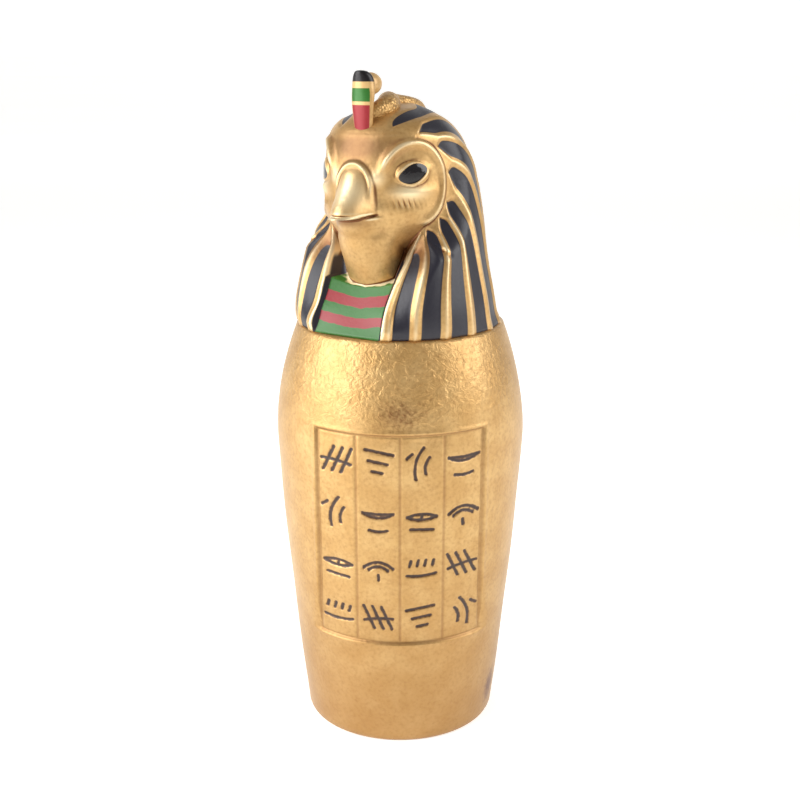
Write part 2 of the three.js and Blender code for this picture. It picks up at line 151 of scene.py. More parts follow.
# ---------------------------------------------------------------- the vessel
# A hollow jar of cast resin, sprayed a satin gold. Its front has a shallow panel of four columns,
# scribed and then filled by brush with dark strokes, and its shoulder has a crumpled surface.
jar_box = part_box("jar")
JOINT_GAP = 0.3
SEAM_HEIGHT = jar_box[1].z / MM + JOINT_GAP / 2
SEAM_RADIUS = 46.7
BASE_RADIUS = 44.6
BASE_EDGE = 1.6
WIDEST_RADIUS = 57
WIDEST_HEIGHT = 140
FOOT_CURVE = 1.28
SHOULDER_CURVE = 1.9
WALL = 5.5
FLOOR_THICKNESS = 7
MOUTH_RADIUS = 38.6
MOUTH_DEPTH = 15
RIM_EDGE = 0.9
HAND_LUMPS = 0.22
PANEL_BOTTOM = 52.7
PANEL_TOP = 152
PANEL_HALF_WIDTH = 36.6
PANEL_MARGIN = 1.5
PANEL_DEPTH = 0.8
PANEL_EDGE = 0.5
PANEL_LIP = 0.3
PANEL_LIP_WIDTH = 0.9
COLUMN_WIDTH = 19.4
COLUMN_LINE_HALF = 0.4
COLUMN_LINE_DEPTH = 0.35
COLUMN_LINE_SLOPE = (-0.9, 0.3)  # mm inside the line's edge, where its groove starts and is deepest
COLUMN_SCOOP = 0.35
SCOOP_MARGIN = 3
BORDER_LINE = 0.2
STROKE_HALF = 0.8
STROKE_DEPTH = 0.5
STROKE_SLOPE = (-0.25, 0.35)
CHIP_PLACE = (67, 15)  # degrees round from the front, mm up
CHIP_SIZE = (7, 10)
# A patch of painted shade in the middle of the shoulder: its height, its size and how dark it is.
SHADE_PATCH_HEIGHT = 161
SHADE_PATCH_SIZE = (14, 9)
SHADE_PATCH_STRENGTH = 0.6
FRONT_SECTOR = 46
FRONT_STEPS = 226
REST_STEPS = 70
FOOT_ROWS = 22
PANEL_ROWS = 232
SHOULDER_ROWS = 46
NECK_ROWS = 4
LINING_ROWS = 14
LINING_CORNER = 5
FAR_OUTSIDE = -9

# Groups of plain strokes: [across, up, length, tilt, bend] in mm and degrees. None is a letter:
# they are leaning ticks, nested bows, closed boats, dots over a bar and shrinking dashes.
SIGNS = [
    [[-3.6, 0, 12, 66, 0], [0.4, 0, 12, 66, 0], [4.4, 0, 12, 66, 0], [0, -1, 13, -6, 0.15]],
    [[0, 1.6, 13.5, 0, -0.12], [0, 1.6, 13.5, 0, -0.62], [0, -6.4, 8, 0, -0.3]],
    [[-5.1, 2.6, 2.6, 75, 0], [-1.7, 2.8, 2.6, 75, 0], [1.7, 2.8, 2.6, 75, 0],
     [5.1, 2.6, 2.6, 75, 0], [0, -3, 13, 3, -0.2]],
    [[-1, 0, 14.5, 76, 0.5], [2.4, -1, 7.5, 78, 0.5], [-5.6, 3.4, 3, 40, 0]],
    [[0, 0, 13, 0, 0.9], [0, -1, 8.4, 0, 0.9], [0, -4.6, 2.6, 85, 0]],
    [[-0.6, 5, 12.5, 9, 0], [0, 0.4, 8.6, 9, 0], [0.4, -4, 4.8, 9, 0]],
    [[0, 0, 13, 0, 0.42], [0, 0, 13, 0, -0.42], [0, 0, 2.4, 80, 0], [0, -6, 10, -3, 0]],
]
SIGN_COLUMNS = (-1.45, -0.5, 0.5, 1.45)
SIGN_ROWS = 4
SIGN_MARGIN = 12.5
NEXT_ROW = 3
NEXT_COLUMN = 5


def smoothstep(value, start, end):
    t = np.clip((value - start) / (end - start), 0, 1)
    return t * t * (3 - 2 * t)


def bell(distance):
    """A rounded bump, 1 in the middle and about a third at a distance of 1."""
    return np.exp(-distance * distance)


def patch(across, up, half_width, half_height):
    """A soft oval patch, 1 in the middle and about a third at its half width and half height."""
    return bell(np.hypot(across / half_width, up / half_height))


def jar_radius(z):
    """The turned outside: widest below the shoulder, drawn in to the seam and to the foot."""
    down = np.clip((WIDEST_HEIGHT - z) / WIDEST_HEIGHT, 0, 1) ** FOOT_CURVE
    up = np.clip((z - WIDEST_HEIGHT) / (SEAM_HEIGHT - WIDEST_HEIGHT), 0, 1) ** SHOULDER_CURVE
    return WIDEST_RADIUS - (WIDEST_RADIUS - BASE_RADIUS) * down - (WIDEST_RADIUS - SEAM_RADIUS) * up


def turned(profile, sectors):
    """Turns a profile of (radius, height) about the Z axis, through sectors of (start, end, steps)."""
    shape = bmesh.new()
    for start, end, steps in sectors:
        side = Matrix.Rotation(math.radians(start), 4, "Z")
        points = [shape.verts.new(side @ Vector((0, -r * MM, z * MM))) for r, z in profile]
        lines = [shape.edges.new(pair) for pair in zip(points, points[1:])]
        bmesh.ops.spin(
            shape, geom=points + lines, cent=(0, 0, 0), axis=(0, 0, 1),
            angle=math.radians(end - start), steps=steps, use_merge=end - start == 360,
        )
    bmesh.ops.remove_doubles(shape, verts=shape.verts, dist=0.01 * MM)
    bmesh.ops.recalc_face_normals(shape, faces=shape.faces)
    return shape


def finished_mesh(name, shape):
    """The smooth-shaded mesh of a bmesh, which is then freed."""
    mesh = bpy.data.meshes.new(name)
    shape.to_mesh(mesh)
    shape.free()
    mesh.shade_smooth()
    return mesh


def points_of(mesh):
    """Places of a mesh's vertices, in mm, as three arrays."""
    places = np.empty(len(mesh.vertices) * 3)
    mesh.vertices.foreach_get("co", places)
    return places.reshape(-1, 3).T / MM


def move_points(mesh, x, y, z):
    """Moves each vertex of a mesh to a place given in mm."""
    mesh.vertices.foreach_set("co", (np.stack([x, y, z], axis=1) * MM).ravel())
    mesh.update()


def keep_measure(mesh, name, values):
    """Stores one number a vertex, which the mesh's material reads by this name."""
    measure = mesh.attributes.new(name, "FLOAT", "POINT")
    measure.data.foreach_set("value", values.astype(np.float32))


def stroke_distance(x, z, across, up, length, tilt, bend):
    """Distance in mm from each point to the spine of a straight or bowed stroke."""
    turn = math.radians(tilt)
    along = (x - across) * math.cos(turn) + (z - up) * math.sin(turn)
    aside = (z - up) * math.cos(turn) - (x - across) * math.sin(turn)
    t = np.clip(along / length, -0.5, 0.5)
    slope = np.sqrt(1 + (2 * bend * t) ** 2)
    return np.hypot(along - t * length, (aside - bend * length * (0.25 - t * t)) / slope)


def panel_ink(x, z):
    """How far inside a brush stroke each point of the panel lies, in mm."""
    ink = np.full(x.shape, float(FAR_OUTSIDE))
    rows = np.linspace(PANEL_TOP - SIGN_MARGIN, PANEL_BOTTOM + SIGN_MARGIN, SIGN_ROWS)
    for column, place in enumerate(SIGN_COLUMNS):
        mirror = 1 if column % 2 == 0 else -1
        for row, middle in enumerate(rows):
            sign = SIGNS[(row * NEXT_ROW + column * NEXT_COLUMN) % len(SIGNS)]
            for across, up, length, tilt, bend in sign:
                aside = place * COLUMN_WIDTH + across * mirror
                distance = stroke_distance(x, z, aside, middle + up, length, tilt * mirror, bend)
                ink = np.maximum(ink, STROKE_HALF - distance)
    return ink


def jar_profile():
    """The jar's half outline from the middle of its underside, up its outside, and down its inside."""
    rim = SEAM_HEIGHT - JOINT_GAP / 2
    shelf = rim - MOUTH_DEPTH
    under = [(r, 0) for r in (0, 12, 24, 34, 40, BASE_RADIUS - BASE_EDGE)]
    edge = [(BASE_RADIUS - BASE_EDGE * 0.3, BASE_EDGE * 0.3)]
    foot = np.linspace(BASE_EDGE, PANEL_BOTTOM - PANEL_MARGIN, FOOT_ROWS)[:-1]
    front = np.linspace(PANEL_BOTTOM - PANEL_MARGIN, PANEL_TOP + PANEL_MARGIN, PANEL_ROWS)[:-1]
    shoulder = np.linspace(PANEL_TOP + PANEL_MARGIN, SEAM_HEIGHT - RIM_EDGE, SHOULDER_ROWS)
    outside = [(float(jar_radius(z)), z) for z in (*foot, *front, *shoulder)]
    lip = [(float(jar_radius(SEAM_HEIGHT)) - RIM_EDGE, rim), (MOUTH_RADIUS + 2, rim), (MOUTH_RADIUS, rim)]
    neck = [(MOUTH_RADIUS, z) for z in np.linspace(rim - 0.5, shelf, NECK_ROWS)]
    lining = np.linspace(shelf - LINING_CORNER - 1, FLOOR_THICKNESS + LINING_CORNER + 1, LINING_ROWS)
    within = [(float(jar_radius(z)) - WALL, z) for z in lining]
    corner = float(jar_radius(FLOOR_THICKNESS)) - WALL - LINING_CORNER
    bottom = [(r, FLOOR_THICKNESS) for r in (corner, 20, 0)]
    return under + edge + outside + lip + neck + within + bottom


jar_sectors = [
    (-FRONT_SECTOR, FRONT_SECTOR, FRONT_STEPS),
    (FRONT_SECTOR, 360 - FRONT_SECTOR, REST_STEPS),
]
jar_mesh = finished_mesh("jar_shell", turned(jar_profile(), jar_sectors))
x, y, z = points_of(jar_mesh)
radius = np.hypot(x, y)
is_skin = (radius > jar_radius(z) - 1.5) & (z > BASE_EDGE / 2) & (z < SEAM_HEIGHT - RIM_EDGE / 2)
is_front = is_skin & (y < 0)
inside_panel = np.minimum.reduce([PANEL_HALF_WIDTH - abs(x), z - PANEL_BOTTOM, PANEL_TOP - z])
inside_panel = np.where(is_front, inside_panel, FAR_OUTSIDE)
from_line = abs(x / COLUMN_WIDTH - np.round(x / COLUMN_WIDTH)) * COLUMN_WIDTH
from_line_on_panel = np.where(inside_panel < 0, -FAR_OUTSIDE, from_line)
from_any_line = np.minimum(from_line_on_panel, abs(inside_panel - BORDER_LINE))
column_line = np.where(inside_panel > -2, COLUMN_LINE_HALF - from_any_line, FAR_OUTSIDE)
column_scoop = 1 - (1 - 2 * from_line / COLUMN_WIDTH) ** 2
ink = np.where(inside_panel > PANEL_EDGE, panel_ink(x, z), FAR_OUTSIDE)
carved = (
    PANEL_DEPTH * smoothstep(inside_panel, -PANEL_EDGE, PANEL_EDGE)
    + COLUMN_SCOOP * column_scoop * smoothstep(inside_panel, 0, SCOOP_MARGIN)
    + COLUMN_LINE_DEPTH * smoothstep(column_line, *COLUMN_LINE_SLOPE)
    + STROKE_DEPTH * smoothstep(ink, *STROKE_SLOPE)
    - PANEL_LIP * bell((inside_panel + PANEL_LIP_WIDTH) / PANEL_LIP_WIDTH) * is_front
)
turn = np.arctan2(x, -y)
lumps = HAND_LUMPS * np.sin(3 * turn + 0.045 * z) * np.sin(0.06 * z + 2 * turn) * is_skin
thinner = (radius - carved * is_skin + lumps) / np.maximum(radius, 1e-6)
move_points(jar_mesh, x * thinner, y * thinner, z)
keep_measure(jar_mesh, "column_line", column_line)
keep_measure(jar_mesh, "ink", ink)
chipped = patch(np.degrees(turn) - CHIP_PLACE[0], z - CHIP_PLACE[1], *CHIP_SIZE)
# Painted shade: a soft darker patch in the middle of the shoulder, stored with the chip's wear.
shade_patch = SHADE_PATCH_STRENGTH * patch(np.degrees(turn), z - SHADE_PATCH_HEIGHT, *SHADE_PATCH_SIZE)
keep_measure(jar_mesh, "chip_and_shade", np.maximum(chipped, shade_patch))

# Satin gold lacquer, sprayed over cast resin: partly metallic under a thin clear coat, softly mottled,
# and darker towards the foot and in a patch on the shoulder, both painted shade. It gives a warm sheen
# with broad highlights. The strokes are a dull brown-black ink, thinner and browner at their ragged
# edges.
GOLD = linear("#bf965b")
GOLD_LIGHT = linear("#d0aa70")
GOLD_DARK = linear("#946a38")
# A brown for the wash in the column lines and the chip's wear, and for painted shade.
WASH_AND_SHADE_BROWN = linear("#6e4220")
INK_BROWN = linear("#2a1606")
INK_THIN = linear("#5a381e")
GOLD_METALLIC = 0.65
GOLD_ROUGHNESS = 0.4
CLEAR_COAT = 0.12
CLEAR_COAT_ROUGHNESS = 0.3
MOTTLE_SIZE = 12  # broad clouds that the spray leaves
GRAIN_SIZE = 1.6  # the metal flake is really some 0.2 mm across, drawn coarser so that it shows
JAR_GRAIN_DEPTH = 0.25
GRAIN_STRENGTH = 0.4
BRISTLE_SIZE = 1.8  # bristle marks are really some 0.2 mm wide, drawn coarser so that they show
WRINKLE_SIZE = 3.2  # creases of the crumpled shoulder
WRINKLE_DEPTH = 0.9
WRINKLE_STRENGTH = 0.6
WRINKLE_ROUGHNESS = 0.55
WRINKLE_TWIST = 1.2
PLAIN_SHARE = 0.15
CRUMPLED_FROM = 148
CRUMPLED_FULLY = 168
# Painted shade towards the foot: how high it reaches, and how dark it is at the foot.
FOOT_SHADE_BELOW = 105
FOOT_SHADE_SHARE = 0.55
LINE_SHARE = 0.38
CHIP_AND_SHADE_GRAIN = 0.7
INK_GRAIN = 0.9

# Where a paint starts and where it is at its fullest, in the measure that it follows.
MOTTLE_RANGE = (0.3, 0.8)
GRAIN_RANGE = (0.3, 1.3)
LINE_RANGE = (-0.7, 0.4)
CHIP_AND_SHADE_RANGE = (0.55, 1.35)
INK_RANGE = (0.3, 0.65)
THICK_INK_RANGE = (0.5, 1.2)


def brushed_over(material, below, above, measure, start, end, most=1):
    """A paint brushed over a colour, from none of it to the most as a measure goes from start to end."""
    cover = node(
        material, "MapRange", {"Value": measure, "From Min": start, "From Max": end, "To Max": most},
        interpolation_type="SMOOTHSTEP",
    ).outputs["Result"]
    return node(material, "Mix", {0: cover, 6: below, 7: above}, data_type="RGBA").outputs[2]


def sprayed_gold(material, place):
    """Colour of the sprayed gold, two golds and a brown mottled together, and its fine grain."""
    broad = node(
        material, "TexNoise", {"Vector": place, "Scale": 1 / (MOTTLE_SIZE * MM), "Detail": 3}
    ).outputs["Fac"]
    grain = node(
        material, "TexNoise", {"Vector": place, "Scale": 1 / (GRAIN_SIZE * MM), "Detail": 2}
    ).outputs["Fac"]
    base = brushed_over(material, GOLD, GOLD_LIGHT, broad, *MOTTLE_RANGE)
    return brushed_over(material, base, GOLD_DARK, grain, *GRAIN_RANGE), grain


jar_gold = new_material("satin_gold_lacquer_jar")
place = node(jar_gold, "TexCoord").outputs["Object"]
height = node(jar_gold, "SeparateXYZ", {"Vector": place}).outputs["Z"]
column_line, ink, chip_and_shade = [
    node(jar_gold, "Attribute", attribute_name=name).outputs["Fac"]
    for name in ("column_line", "ink", "chip_and_shade")
]
gold_colour, grain = sprayed_gold(jar_gold, place)
# Painted shade: the gold is darkened towards the foot.
foot_shaded = brushed_over(jar_gold, gold_colour, GOLD_DARK, height, FOOT_SHADE_BELOW * MM, 0, FOOT_SHADE_SHARE)
lined = brushed_over(jar_gold, foot_shaded, WASH_AND_SHADE_BROWN, column_line, *LINE_RANGE, LINE_SHARE)
# Brown over the chip's wear, and painted shade over the patch on the shoulder, both made ragged by the
# grain.
ragged_chip_and_shade = node(
    jar_gold, "Math", {0: grain, 1: CHIP_AND_SHADE_GRAIN, 2: chip_and_shade}, operation="MULTIPLY_ADD"
).outputs[0]
chip_and_shade_colour = brushed_over(jar_gold, lined, WASH_AND_SHADE_BROWN, ragged_chip_and_shade, *CHIP_AND_SHADE_RANGE)
bristles = node(
    jar_gold, "TexNoise", {"Vector": place, "Scale": 1 / (BRISTLE_SIZE * MM), "Detail": 3}
).outputs["Fac"]
ragged_ink = node(
    jar_gold, "Math", {0: bristles, 1: INK_GRAIN, 2: ink}, operation="MULTIPLY_ADD"
).outputs[0]
inked = node(
    jar_gold, "MapRange", {"Value": ragged_ink, "From Min": INK_RANGE[0], "From Max": INK_RANGE[1]},
    interpolation_type="SMOOTHSTEP",
).outputs["Result"]
ink_colour = brushed_over(jar_gold, INK_THIN, INK_BROWN, ragged_ink, *THICK_INK_RANGE)
jar_colour = node(jar_gold, "Mix", {0: inked, 6: chip_and_shade_colour, 7: ink_colour}, data_type="RGBA").outputs[2]
jar_metal = node(
    jar_gold, "MapRange", {"Value": inked, "To Min": GOLD_METALLIC, "To Max": 0}
).outputs["Result"]
wrinkles = node(
    jar_gold, "TexNoise",
    {
        "Vector": place, "Scale": 1 / (WRINKLE_SIZE * MM), "Detail": 3,
        "Roughness": WRINKLE_ROUGHNESS, "Distortion": WRINKLE_TWIST,
    },
).outputs["Fac"]
on_shoulder = node(
    jar_gold, "MapRange",
    {
        "Value": height, "From Min": CRUMPLED_FROM * MM, "From Max": CRUMPLED_FULLY * MM,
        "To Min": PLAIN_SHARE,
    },
    interpolation_type="SMOOTHSTEP",
).outputs["Result"]
crumple = node(jar_gold, "Math", {0: wrinkles, 1: on_shoulder}, operation="MULTIPLY").outputs[0]
crumpled = node(
    jar_gold, "Bump", {"Height": crumple, "Distance": WRINKLE_DEPTH * MM, "Strength": WRINKLE_STRENGTH}
).outputs["Normal"]
grained = node(
    jar_gold, "Bump",
    {
        "Height": grain, "Distance": JAR_GRAIN_DEPTH * MM, "Strength": GRAIN_STRENGTH,
        "Normal": crumpled,
    },
).outputs["Normal"]
jar_surface = node(
    jar_gold, "BsdfPrincipled",
    {
        "Base Color": jar_colour, "Metallic": jar_metal, "Roughness": GOLD_ROUGHNESS,
        "Normal": grained, "Coat Weight": CLEAR_COAT, "Coat Roughness": CLEAR_COAT_ROUGHNESS,
    },
)
node(jar_gold, "OutputMaterial", {"Surface": jar_surface.outputs["BSDF"]})
jar_mesh.materials.append(jar_gold)
jar_body = show("jar_body", jar_mesh)
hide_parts("jar")
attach(jar_body, "root")

# ---------------------------------------------------------------- the falcon-head lid
# A solid lid cast in one piece, turned to the left: a falcon's face and throat in a striped
# headcloth, with a painted collar, standing on a plug that fits the mouth of the jar.
FACING = -32
CROWN = 96
DOME_FOOT = 85.6
HEAD_COLUMNS = 450
DOME_ROWS = 30
FRONT_CROWDING = 18
PLUG_RADIUS = MOUTH_RADIUS - 0.5
PLUG_LENGTH = 9
PLUG_EDGE = 0.8


def curve_through(*points):
    """A smooth curve y(x) through a few points, given in rising x."""
    xs, ys = np.array(points, float).T
    before = np.maximum(np.arange(len(xs)) - 1, 0)
    after = np.minimum(np.arange(len(xs)) + 1, len(xs) - 1)
    slopes = (ys[after] - ys[before]) / (xs[after] - xs[before])

    def height_at(x):
        k = np.clip(np.searchsorted(xs, x) - 1, 0, len(xs) - 2)
        span = xs[k + 1] - xs[k]
        t = np.clip((x - xs[k]) / span, 0, 1)
        lead = t * (1 - t) ** 2 * span * slopes[k]
        tail = t * t * (t - 1) * span * slopes[k + 1]
        return ys[k] + (ys[k + 1] - ys[k]) * (3 - 2 * t) * t * t + lead + tail

    return height_at


def lerp(start, end, share):
    return start + (end - start) * share


# The headcloth: radii against height above the seam, behind and in front, and how its stripes run.
# Each direction is an angle from the way that the face looks, the same to the left and to the right.
back_line = curve_through(
    (0, 46.4), (5, 44.3), (14, 42.6), (28, 40), (44, 38), (58, 35.6), (66, 33.8)
)
front_line = curve_through(
    (0, 47.1), (4, 47.8), (11, 47.4), (22, 45.2), (34, 42.4), (46, 39.2), (57, 36.4), (74, 35)
)
fan_spread = curve_through(
    (0, 0), (12, 1.6), (20, 5.1), (27, 10), (38, 21), (46, 29), (54, 33), (60, 34), (70, 34)
)
edge_sink = curve_through(
    (0, 0), (5, 0.2), (12, 3.9), (20, 6.3), (27, 8.4), (35, 10.6), (41, 10), (48, 7.4), (56, 5.2),
    (64, 4), (76, 3), (85, 0.3), (96, 0)
)
BACK_DOME = (58, 34.6, 2)  # where the dome springs, its radius there, and how full it is
BACK_DOME_FROM = 64
FRONT_DOME = (74, 35, 2.5)
FRONT_DOME_FROM = 74
TEMPLE_DIP = 2.2
TEMPLE_ANGLE = 60
LAPPET_EDGE = 21.4
FAN_END = 85
FAN_TOP = 46
BROW_TOP = 84.6
SINK_WIDTH = 14
TAIL_CLEARANCE = 7
RIB_RELIEF = 1
STRIPE_HALF = 0.31
CENTRE_STRIPE = 8
TURN_LEVEL = 62
DISC_ANGLE = 43
DISC_HEIGHT = 64
DISC_SPAN = 35
OPENING_HALF_WIDTH = 17
OPENING_HALF_HEIGHT = 18.5
BROW_HALF_WIDTH = 27


def dome_radius(h, spring, radius, power):
    rise = np.maximum(0, (h - spring) / (CROWN - spring))
    return radius * np.sqrt(np.maximum(0, 1 - rise**power))


def cloth_radius(angle, h):
    """The headcloth: fuller in front over the lappets, drawn in behind."""
    back = np.where(h < BACK_DOME_FROM, back_line(h), dome_radius(h, *BACK_DOME))
    front = np.where(h < FRONT_DOME_FROM, front_line(h), dome_radius(h, *FRONT_DOME))
    temple = TEMPLE_DIP * bell((angle - TEMPLE_ANGLE) / 20) * smoothstep(h, 70, 80)
    return lerp(front, back, smoothstep(angle, 45, 125)) - temple


def fanned(seam_angle, h):
    """The angle at a height of the line of the cloth that leaves the seam at a given angle."""
    amount = fan_spread(h)
    beyond = seam_angle + amount * np.maximum(0, FAN_END - seam_angle) / (FAN_END - LAPPET_EDGE)
    return np.where(seam_angle < LAPPET_EDGE, seam_angle * (1 + amount / LAPPET_EDGE), beyond)


def stripe_angle(k, h):
    """Stripe k leaves the seam upright and turns forward to the face below a height of its own."""
    seam_angle = 31.5 + 16.5 * k + 0.258 * k * k
    full_height = 42.5 + 8.4 * k
    bend = (0.9 + 0.6 * k) * (1 - smoothstep(k, 6.2, CENTRE_STRIPE))
    reach = np.minimum(h / full_height, 0.999)
    return fanned(seam_angle, h) - bend * reach / (1 - reach)


def stripe_count(angle, h):
    """The count, with its fraction, of the stripe line through each point."""
    low = np.full(angle.shape, -1.2)
    high = np.full(angle.shape, float(CENTRE_STRIPE))
    for _ in range(20):
        middle = (low + high) / 2
        is_before = stripe_angle(middle, h) < angle
        low = np.where(is_before, middle, low)
        high = np.where(is_before, high, middle)
    tilt = np.degrees(np.arctan2(h - TURN_LEVEL, cloth_radius(angle, h) * np.sin(np.radians(angle))))
    over_brow = smoothstep(h, 76, 86) * (1 - smoothstep(angle, 55, 115))
    return lerp(low, np.minimum(CENTRE_STRIPE, 5 + (tilt - 28) / 17.3), over_brow)


def inside_opening(angle, h):
    """How far in mm a point lies inside the opening that the cloth leaves for face and throat."""
    across = np.radians(angle) * DISC_SPAN
    disc_across = (across - math.radians(DISC_ANGLE) * DISC_SPAN) / OPENING_HALF_WIDTH
    disc = 17.5 * (1 - np.hypot(disc_across, (h - DISC_HEIGHT) / OPENING_HALF_HEIGHT))
    brow = np.minimum.reduce([BROW_HALF_WIDTH - across, BROW_TOP - h, h - FAN_TOP])
    throat = np.minimum((fanned(LAPPET_EDGE, h) - angle) * 0.7, FAN_TOP + 6 - h)
    return np.maximum.reduce([disc, brow, throat])


def stripe_inside(angle, h):
    """How far inside a navy stripe each point lies, as a share of a stripe's half width."""
    count = stripe_count(angle, h)
    opening = inside_opening(angle, h)
    started = np.maximum(0, 1 - (-opening - 2.5) / 4) ** 2
    aside = cloth_radius(angle, h) * np.sin(np.radians(angle))
    over_crown = smoothstep(h, 80, 85) * (1 - smoothstep(angle, 120, 150))
    under_tail = over_crown * np.maximum(0, 1 - (aside - TAIL_CLEARANCE) / 3)
    return 1 - abs(count - np.round(count)) / STRIPE_HALF - started - under_tail


# The face: the beak and the jaw stand forward of a round skull, and on each side lies a facial disc
# with its brow, its eye and the fine feathers under it.
beak_line = curve_through(
    (50.2, 47.6), (52, 49), (54.5, 48), (58, 45.3), (62, 42.5), (66, 40.4), (70, 38.7), (74, 37.4)
)
jaw_line = curve_through((36, 33.4), (40.6, 37.3), (44, 40.8), (46.5, 42.6), (49.6, 43.6))
FACE_SPAN = 36
MM_A_DEGREE = 0.6
SKULL_RADIUS = 36.3
TEMPLE_NARROWING = 5.3
FOREHEAD_SLOPE = 5.5
BEAK_FOOT = 50.2
BEAK_HEAD = 74
BEAK_FADE = 6
BEAK_HALF_WIDTH = 10.6
MOUTH_RISE = 1.6
CERE_REACH = 8.2
CERE_RING = 1.1
GAPE_FOLD = 0.9
JAW_HALF_WIDTH = 14
DISC_HALF_WIDTH = 14.8
DISC_HALF_HEIGHT = 17.2
DISC_RIM = 1.5
BROW_RIDGE = 1.1
EYE_ANGLE = 41.6
EYE_HEIGHT = 68.4
EYE_HALF_WIDTH = 6.4
EYE_HALF_HEIGHT = 4
EYE_TILT = 0.25
EYE_HOLLOW = 1.8
EYEBALL = 1.9
EYEBALL_HALF_WIDTH = 7.8
EYEBALL_HALF_HEIGHT = 5.2
EYELID = 0.3
EYE_BAG = 1.4
LORE_BUMP = 0.9
LORE_PLACE = (16, 66.6)  # degrees from the way the face looks, mm above the seam
FEATHER_DEPTH = 0.6
FEATHER_SPACING = 2.3


def across_face(angle):
    """Distance in mm of each point from the middle of the beak, seen from in front."""
    return FACE_SPAN * np.sin(np.radians(angle))


def eye_inside(angle, h):
    """How far in mm a point lies inside the almond of the eye."""
    across = np.radians(angle - EYE_ANGLE) * DISC_SPAN
    up = (h - EYE_HEIGHT - EYE_TILT * across) / EYE_HALF_HEIGHT
    along = across / EYE_HALF_WIDTH
    return (1 - np.hypot(along, up * (1 + 0.3 * along * along))) * EYE_HALF_HEIGHT


def disc_relief(angle, h):
    """Round facial disc with a raised brow and rim, a hollow round the eye, and the lidded eyeball."""
    across = np.radians(angle - DISC_ANGLE) * DISC_SPAN
    reach = np.hypot(across / DISC_HALF_WIDTH, (h - DISC_HEIGHT) / DISC_HALF_HEIGHT)
    inner_low = smoothstep(-across - 0.8 * (h - DISC_HEIGHT), 4, 16)
    brow = DISC_RIM + BROW_RIDGE * smoothstep(h, 68, 76) * (1 - smoothstep(angle, 36, 58))
    rim = brow * bell((reach - 1) * 8) * (1 - inner_low)
    eye_across = np.radians(angle - EYE_ANGLE) * DISC_SPAN
    eye_up = h - EYE_HEIGHT
    hollow = EYE_HOLLOW * patch(eye_across, eye_up, 9.5, 9.5)
    in_ball = 1 - (eye_across / EYEBALL_HALF_WIDTH) ** 2 - (eye_up / EYEBALL_HALF_HEIGHT) ** 2
    ball = EYEBALL * np.maximum(0, in_ball) ** 0.6
    eyelid = EYELID * bell((eye_inside(angle, h) + 0.6) / 0.55)
    bag = EYE_BAG * patch(across, h - 61, 9, 2.6)
    lore = LORE_BUMP * patch((angle - LORE_PLACE[0]) * MM_A_DEGREE, h - LORE_PLACE[1], 3, 3)
    grooves = 0.5 + 0.5 * np.cos(2 * math.pi * (across + 0.25 * h) / FEATHER_SPACING)
    feathers = FEATHER_DEPTH * grooves * patch(across + 5, h - 56, 6, 2.4)
    return rim - hollow + ball + eyelid + bag + lore - feathers


def face_radius(angle, h):
    """The skull and cheek with the beak, its cere and gape, the jaw and the facial disc."""
    across = across_face(angle)
    forehead = FOREHEAD_SLOPE * np.clip((h - 70) / 16, 0, 1) ** 1.5
    skull = SKULL_RADIUS - TEMPLE_NARROWING * (angle / 70) ** 2 - forehead
    cheek = skull - 7 * (np.maximum(0, 55 - h) / 15) ** 2
    up_beak = np.clip((h - BEAK_FOOT) / (BEAK_HEAD - BEAK_FOOT), 0, 1)
    half = BEAK_HALF_WIDTH * np.sqrt(1 - up_beak**2.6) + 0.01
    foot = BEAK_FOOT + MOUTH_RISE * (across / BEAK_HALF_WIDTH) ** 2
    beak = (beak_line(h) - cheek) * np.maximum(0, 1 - (across / half) ** 2) ** 1.5
    beak = beak * smoothstep(h, foot - 0.5, foot + 0.5) * smoothstep(h, BEAK_HEAD, BEAK_HEAD - BEAK_FADE)
    arch = np.hypot(across, np.maximum(0, h - 62) * 0.78)
    cere = CERE_RING * bell((arch - CERE_REACH) / 0.9) * smoothstep(h, 55, 64)
    gape = GAPE_FOLD * patch(across - BEAK_HALF_WIDTH, h - 53, 2.4, 3.5)
    jaw = np.maximum(0, jaw_line(h) - cheek) * np.maximum(0, 1 - (across / JAW_HALF_WIDTH) ** 2) ** 2.2
    jaw = jaw * smoothstep(h, 30, 37) * (1 - smoothstep(h, BEAK_FOOT, BEAK_FOOT + 1))
    face = cheek + beak + jaw + disc_relief(angle, h) + cere + gape
    return lerp(face, cloth_radius(angle, h) - 0.4, smoothstep(h, BROW_TOP - 4, BROW_TOP))


# The throat is a round neck that leans forward as it rises, standing behind a flat sloping collar.
throat_line = curve_through((20, 29.6), (30.4, 34), (37, 36.8), (44, 38))
NECK_RADIUS = 13.5
THROAT_TOP = 40
COLLAR_FOOT_RADIUS = 44.4
COLLAR_SLOPE = 0.715
COLLAR_TOP = 19.8
COLLAR_RISE = 2.4


def neck_radius(angle, h):
    centre = throat_line(h) - NECK_RADIUS
    sideways = centre * np.sin(np.radians(np.minimum(angle, 50)))
    return centre * np.cos(np.radians(angle)) + np.sqrt(np.maximum(0, NECK_RADIUS**2 - sideways**2))


def collar_radius(angle, h):
    """The collar is a flat bib that leans back from the seam to the foot of the neck."""
    flatness = 0.86 + 0.44 * smoothstep(h, 0, 12)
    lean = COLLAR_FOOT_RADIUS - COLLAR_SLOPE * h
    return lean / np.cos(np.radians(flatness * np.minimum(angle, 50)))


def collar_level(angle, h):
    """Height measured along the collar, whose bands and top edge rise towards its two ends."""
    return h - COLLAR_RISE * (np.minimum(angle, 50) / 25) ** 2


